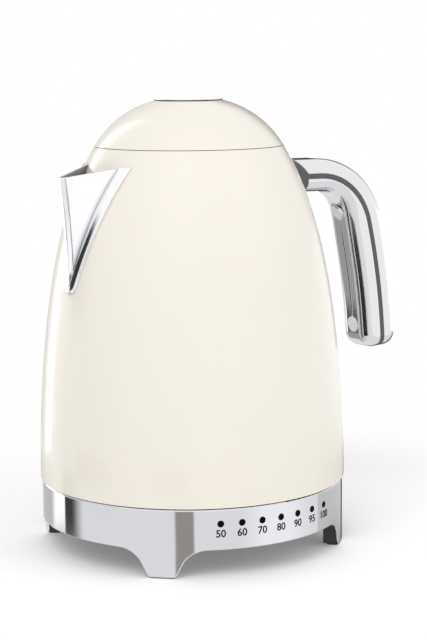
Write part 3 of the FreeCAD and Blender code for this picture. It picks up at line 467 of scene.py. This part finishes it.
class KETTLE_OT_finishes(bpy.types.Operator):
    """Give every node of the frame the finish of its slot."""

    bl_idname = "kettle.finishes"
    bl_label = "Finishes"

    def execute(self, context):
        tones = context.scene.kettle_finishes
        # Painted light: the spout's chrome is a lighter copy of the same plating, so the beak renders
        # brighter than the band; the satin screw caps take this lighter tint too.
        lighter_chrome_tint = toned(tones.chrome, 1.18)
        finishes = {
            # Polished chrome, with painted shade in its inner corners.
            "chrome": chrome_material(
                "polished_chrome", tones.chrome, edge_radius=0.0007, painted_shade_full_below=0.45, painted_shade_gone_above=0.92
            ),
            "cream": enamel_material(tones.enamel),
            "black": moulded_material("black_plastic", (0.018, 0.018, 0.019), 0.48),
            "grey": moulded_material("charcoal_plastic", tones.charcoal, 0.42),
            "rubber": moulded_material("foot_rubber", (0.014, 0.014, 0.014), 0.75, 600.0, 0.5),
            "brass": brushed_material("contact_brass", (0.78, 0.58, 0.26), 0.28, (1.0, 1.0, 0.1)),
            "board": board_material(),
            "lens": lens_material(),
            "steel": brushed_material("brushed_steel", (0.60, 0.60, 0.61), 0.30, (1.0, 1.0, 12.0)),
            "aluminium": brushed_material("plain_aluminium", (0.72, 0.72, 0.73), 0.38),
            "clear": clear_material(),
            "seal": moulded_material("silicone_seal", (0.42, 0.42, 0.42), 0.6, 500.0, 0.3),
        }
        own_finishes = {
            # Spout: the lighter copy of the chrome, painted light, with stronger painted shade in its
            # corners.
            "spout": chrome_material(
                "spout_chrome_painted_lighter", lighter_chrome_tint, edge_radius=0.0010, painted_shade_full_below=0.76, painted_shade_gone_above=0.91
            ),
            "handle_screw_caps": brushed_material("satin_chrome", lighter_chrome_tint, 0.4),
        }
        for subpart in frame["record"]["subparts"]:
            name = subpart["node"]
            materials = frame["nodes"][name].data.materials
            materials.clear()
            materials.append(own_finishes.get(name, finishes[subpart["material_slot"]]))
        return {"FINISHED"}


class KETTLE_OT_lining(bpy.types.Operator):
    """Lay a thin dark sheet on the inner faces of the beak's two cheeks, a painted dark reflection over the
    chrome there.
    """

    bl_idname = "kettle.lining"
    bl_label = "Spout lining"

    def execute(self, context):
        sizes = context.scene.kettle_sizes
        spout = frame["nodes"]["spout"]
        lining = bpy.data.objects.new("spout_painted_reflection_sheet", spout.data.copy())
        context.collection.objects.link(lining)
        bpy.ops.object.select_all(action="DESELECT")
        lining.select_set(True)
        context.view_layer.objects.active = lining
        context.tool_settings.mesh_select_mode = (False, False, True)
        bpy.ops.object.mode_set(mode="EDIT")
        bpy.ops.mesh.select_all(action="SELECT")
        bpy.ops.mesh.remove_doubles(threshold=MERGE_REACH)
        bpy.ops.object.mode_set(mode="OBJECT")
        beak_end_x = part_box("neck_collar")[0].x - BEAK_CLEAR
        for face in lining.data.polygons:
            inward = face.normal.y * face.center.y < 0
            cheek = face.center.x < beak_end_x and abs(face.normal.y) > SIDEWAYS_SHARE
            face.select = not (inward and cheek)
        bpy.ops.object.mode_set(mode="EDIT")
        bpy.ops.mesh.delete(type="FACE")
        bpy.ops.mesh.select_all(action="SELECT")
        bpy.ops.transform.shrink_fatten(value=sizes.lining_lift + sizes.lining_thickness)
        bpy.ops.object.mode_set(mode="OBJECT")
        bpy.ops.object.modifier_add(type="SOLIDIFY")
        wall = lining.modifiers[-1]
        wall.thickness = sizes.lining_thickness
        wall.offset = -1.0
        bpy.ops.object.modifier_apply(modifier=wall.name)
        # A dark satin colour that paints the dark reflection inside the beak.
        reflection_sheet_finish = brushed_material("painted_reflection_satin", (0.29, 0.275, 0.285), 0.45, (1.0, 1.0, 6.0))
        lining.data.materials.clear()
        lining.data.materials.append(reflection_sheet_finish)
        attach(lining, "kettle")
        return {"FINISHED"}


class KETTLE_OT_spring(bpy.types.Operator):
    """Wind the button's return spring again as a coil of round wire."""

    bl_idname = "kettle.spring"
    bl_label = "Button spring"

    def execute(self, context):
        sizes = context.scene.kettle_sizes
        low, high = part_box("lid_button_spring")
        wire = sizes.spring_wire / 2
        radius = (high.x - low.x) / 2 - wire
        length = high.z - low.z
        bpy.ops.object.select_all(action="DESELECT")
        bpy.ops.mesh.primitive_circle_add(
            vertices=WIRE_SIDES,
            radius=wire,
            fill_type="NOTHING",
            location=(radius, 0.0, low.z + wire),
            rotation=(math.pi / 2, 0.0, 0.0),
        )
        spring = context.object
        spring.name = "spring_coil"
        bpy.ops.object.transform_apply(location=True, rotation=True, scale=True)
        bpy.ops.object.modifier_add(type="SCREW")
        coil = spring.modifiers[-1]
        coil.angle = 2 * math.pi
        coil.iterations = sizes.spring_turns
        coil.screw_offset = (length - 2 * wire) / sizes.spring_turns
        coil.steps = COIL_STEPS
        coil.render_steps = COIL_STEPS
        bpy.ops.object.modifier_apply(modifier=coil.name)
        bpy.ops.object.mode_set(mode="EDIT")
        bpy.ops.mesh.select_all(action="SELECT")
        bpy.ops.mesh.fill_holes(sides=WIRE_SIDES)
        bpy.ops.mesh.normals_make_consistent(inside=False)
        bpy.ops.object.mode_set(mode="OBJECT")
        bpy.ops.object.shade_smooth_by_angle(angle=SMOOTH_ANGLE)
        spring.data.materials.append(brushed_material("spring_steel", (0.55, 0.55, 0.56), 0.25))
        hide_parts("lid_button_spring")
        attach(spring, "lid")
        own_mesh(spring)
        return {"FINISHED"}


class KETTLE_OT_numbers(bpy.types.Operator):
    """Print the plain temperature numbers under the row of lights, bent round the band."""

    bl_idname = "kettle.numbers"
    bl_label = "Temperature numbers"

    def execute(self, context):
        sizes = context.scene.kettle_sizes
        low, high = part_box("temperature_lights")
        band_low, band_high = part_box("base_ring")
        print_r = (band_high.x - band_low.x) / 2 + sizes.print_depth / 2
        number_z = (low.z + high.z) / 2 - sizes.number_drop
        made = []
        for value, angle in zip(TEMPERATURES, light_angles()):
            bpy.ops.object.select_all(action="DESELECT")
            bpy.ops.object.text_add()
            text = context.object
            text.data.body = str(value)
            text.data.align_x = "CENTER"
            text.data.align_y = "CENTER"
            text.data.size = sizes.number_height / FIGURE_SHARE
            text.data.extrude = sizes.print_depth / 2
            text.data.offset = sizes.number_weight
            text.data.resolution_u = PRINT_CURVE_STEPS
            bpy.ops.object.convert(target="MESH")
            wrap(context.object.data, angle, print_r, number_z)
            made.append(context.object)
        bpy.ops.object.select_all(action="DESELECT")
        for piece in made:
            piece.select_set(True)
        context.view_layer.objects.active = made[0]
        bpy.ops.object.join()
        numbers = context.object
        numbers.name = "temperature_numbers"
        numbers.data.materials.append(ink_material(context.scene.kettle_finishes.print_ink))
        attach(numbers, "base")
        return {"FINISHED"}


def light_angles():
    """Where the lights stand round the band, from left to right."""
    middle = (len(TEMPERATURES) - 1) / 2
    return [-math.pi / 2 + (i - middle) * LIGHT_PITCH for i in range(len(TEMPERATURES))]


def wrap(mesh, angle, radius, height):
    """Bend a flat print round the band's axis."""
    for vertex in mesh.vertices:
        turn = angle + vertex.co.x / radius
        out = radius + vertex.co.z
        vertex.co = Vector((out * math.cos(turn), out * math.sin(turn), height + vertex.co.y))


# Studio


def soft_step(tree, source, edge, soft, before, after):
    """Go smoothly from one value to another where an angle passes an edge."""
    step = add_node(
        tree,
        "ShaderNodeMapRange",
        From_Min=math.radians(edge - soft),
        From_Max=math.radians(edge + soft),
        To_Min=before,
        To_Max=after,
    )
    step.interpolation_type = "SMOOTHSTEP"
    tree.links.new(source, step.inputs["Value"])
    return step.outputs["Result"]


def world_card(tree, azimuth, elevation, below, across, up, tone):
    """Lay one soft-edged card of the studio over the colour seen in reflections."""
    masks = []
    for source, (start, stop, soft_start, soft_stop) in ((azimuth, across), (elevation, up)):
        masks.append(soft_step(tree, source, start, soft_start, 0.0, 1.0))
        masks.append(soft_step(tree, source, stop, soft_stop, 1.0, 0.0))
    share = masks[0]
    for mask in masks[1:]:
        share = add_math(tree, "MULTIPLY", share, mask)
    mix = tree.nodes.new("ShaderNodeMix")
    mix.data_type = "RGBA"
    tree.links.new(share, mix.inputs["Factor"])
    tree.links.new(below, mix.inputs["A"])
    mix.inputs["B"].default_value = (*tone, 1.0)
    return mix.outputs["Result"]


def mirrored_studio(tree):
    """The colour that polished metal sees in each direction."""
    place = tree.nodes.new("ShaderNodeTexCoord")
    parts = tree.nodes.new("ShaderNodeSeparateXYZ")
    tree.links.new(place.outputs["Generated"], parts.inputs["Vector"])
    azimuth = add_math(tree, "ARCTAN2", parts.outputs["Y"], parts.outputs["X"])
    elevation = add_math(tree, "ARCSINE", parts.outputs["Z"])
    plain = tree.nodes.new("ShaderNodeRGB")
    plain.outputs["Color"].default_value = (*LOW_TONE, 1.0)
    seen = plain.outputs["Color"]
    for across, up, tone in STUDIO_CARDS.values():
        seen = world_card(tree, azimuth, elevation, seen, across, up, tone)
    return seen


def build_world(studio):
    """White to the camera and through glass, even light on the object, studio cards in polished metal."""
    world = bpy.data.worlds.new("studio_world")
    bpy.context.scene.world = world
    world.use_nodes = True
    tree = world.node_tree
    tree.nodes.clear()
    even = add_node(tree, "ShaderNodeBackground", Color=(*EVEN_TONE, 1.0), Strength=studio.room_light)
    white = add_node(tree, "ShaderNodeBackground", Color=(1.0, 1.0, 1.0, 1.0))
    mirrored = tree.nodes.new("ShaderNodeBackground")
    tree.links.new(mirrored_studio(tree), mirrored.inputs["Color"])
    ray = tree.nodes.new("ShaderNodeLightPath").outputs
    straight = add_math(tree, "MAXIMUM", ray["Is Camera Ray"], ray["Is Transmission Ray"])
    bounced = add_mix(tree, ray["Is Glossy Ray"], even.outputs["Background"], mirrored.outputs["Background"])
    lit = add_mix(tree, straight, bounced, white.outputs["Background"])
    output = tree.nodes.new("ShaderNodeOutputWorld")
    tree.links.new(lit, output.inputs["Surface"])


def floor_material():
    """White paper that keeps the soft shadow near the object and does not hide the studio from the metal."""
    material = bpy.data.materials.new("studio_paper")
    material.use_nodes = True
    tree = material.node_tree
    tree.nodes.clear()
    paper = add_node(tree, "ShaderNodeBsdfDiffuse", Color=(*PAPER_TONE, 1.0)).outputs["BSDF"]
    glow = add_node(tree, "ShaderNodeEmission", Strength=PAPER_GLOW).outputs["Emission"]
    white = tree.nodes.new("ShaderNodeEmission").outputs["Emission"]
    unseen = tree.nodes.new("ShaderNodeBsdfTransparent").outputs["BSDF"]
    ray = tree.nodes.new("ShaderNodeLightPath").outputs
    lit = tree.nodes.new("ShaderNodeAddShader")
    tree.links.new(paper, lit.inputs[0])
    tree.links.new(glow, lit.inputs[1])
    place = tree.nodes.new("ShaderNodeTexCoord")
    away = tree.nodes.new("ShaderNodeVectorMath")
    away.operation = "LENGTH"
    tree.links.new(place.outputs["Object"], away.inputs[0])
    fade = add_node(tree, "ShaderNodeMapRange", From_Min=SHADOW_REACH, From_Max=2 * SHADOW_REACH)
    fade.interpolation_type = "SMOOTHSTEP"
    tree.links.new(away.outputs["Value"], fade.inputs["Value"])
    sheet = add_mix(tree, fade.outputs["Result"], lit.outputs["Shader"], white)
    shown = add_mix(tree, ray["Is Camera Ray"], paper, sheet)
    surface = add_mix(tree, ray["Is Glossy Ray"], shown, unseen)
    output = tree.nodes.new("ShaderNodeOutputMaterial")
    tree.links.new(surface, output.inputs["Surface"])
    return material


def add_floor():
    """Lay the white paper."""
    bpy.ops.object.select_all(action="DESELECT")
    bpy.ops.mesh.primitive_plane_add(size=FLOOR_SIZE)
    floor = bpy.context.object
    floor.name = "studio_floor"
    floor.data.materials.append(floor_material())


def add_lamp(name, place, side, watts):
    """Hang a square soft box, which the polished metal does not show."""
    bpy.ops.object.select_all(action="DESELECT")
    bpy.ops.object.light_add(type="AREA", location=place)
    lamp = bpy.context.object
    lamp.name = name
    lamp.data.shape = "SQUARE"
    lamp.data.size = side
    lamp.data.energy = watts
    lamp.visible_glossy = False
    lamp.rotation_euler = (Vector(LAMP_AIM) - Vector(place)).to_track_quat("-Z", "Y").to_euler()


def add_camera(studio):
    """Set the camera where the photograph was taken from."""
    aim = Vector(studio.camera_aim).normalized()
    right = aim.cross(Vector((0.0, 0.0, 1.0))).normalized()
    up = right.cross(aim)
    rolled = right * math.cos(studio.camera_roll) + up * math.sin(studio.camera_roll)
    raised = rolled.cross(aim)
    bpy.ops.object.camera_add()
    camera = bpy.context.object
    camera.name = "photo_camera"
    camera.data.sensor_fit = "VERTICAL"
    camera.data.sensor_height = SENSOR_HEIGHT
    camera.data.lens = studio.camera_lens
    axes = Matrix((rolled, raised, -aim)).transposed().to_4x4()
    camera.matrix_world = Matrix.Translation(studio.camera_place) @ axes
    bpy.context.scene.camera = camera


class KETTLE_OT_stage(bpy.types.Operator):
    """Set the white paper, the soft light, the world and the camera."""

    bl_idname = "kettle.stage"
    bl_label = "Studio"

    def execute(self, context):
        studio = context.scene.kettle_studio
        add_floor()
        for name, (place, side, watts) in LAMPS.items():
            add_lamp(name, place, side, watts)
        build_world(studio)
        add_camera(studio)
        context.scene.view_settings.view_transform = "Standard"
        return {"FINISHED"}


class KETTLE_PT_panel(bpy.types.Panel):
    """Lists the steps that dress the kettle."""

    bl_idname = "KETTLE_PT_panel"
    bl_label = "Kettle"
    bl_space_type = "VIEW_3D"
    bl_region_type = "UI"
    bl_category = "Kettle"

    def draw(self, context):
        column = self.layout.column()
        for step in STEPS:
            column.operator(step.bl_idname)
        for group in GROUPS:
            held = getattr(context.scene, group)
            for name in held.__annotations__:
                column.prop(held, name)


GROUPS = {
    "kettle_finishes": KettleFinishes,
    "kettle_sizes": KettleSizes,
    "kettle_studio": KettleStudio,
}
STEPS = (
    KETTLE_OT_finishes,
    KETTLE_OT_lining,
    KETTLE_OT_spring,
    KETTLE_OT_numbers,
    KETTLE_OT_stage,
)


def register():
    for name, group in GROUPS.items():
        bpy.utils.register_class(group)
        setattr(bpy.types.Scene, name, bpy.props.PointerProperty(type=group))
    for step in STEPS:
        bpy.utils.register_class(step)
    bpy.utils.register_class(KETTLE_PT_panel)


def unregister():
    bpy.utils.unregister_class(KETTLE_PT_panel)
    for step in reversed(STEPS):
        bpy.utils.unregister_class(step)
    for name, group in GROUPS.items():
        delattr(bpy.types.Scene, name)
        bpy.utils.unregister_class(group)


def main():
    register()
    bpy.ops.object.select_all(action="DESELECT")
    bpy.ops.kettle.finishes()
    bpy.ops.kettle.lining()
    bpy.ops.kettle.spring()
    bpy.ops.kettle.numbers()
    bpy.ops.kettle.stage()


if __name__ == "__main__":
    main()
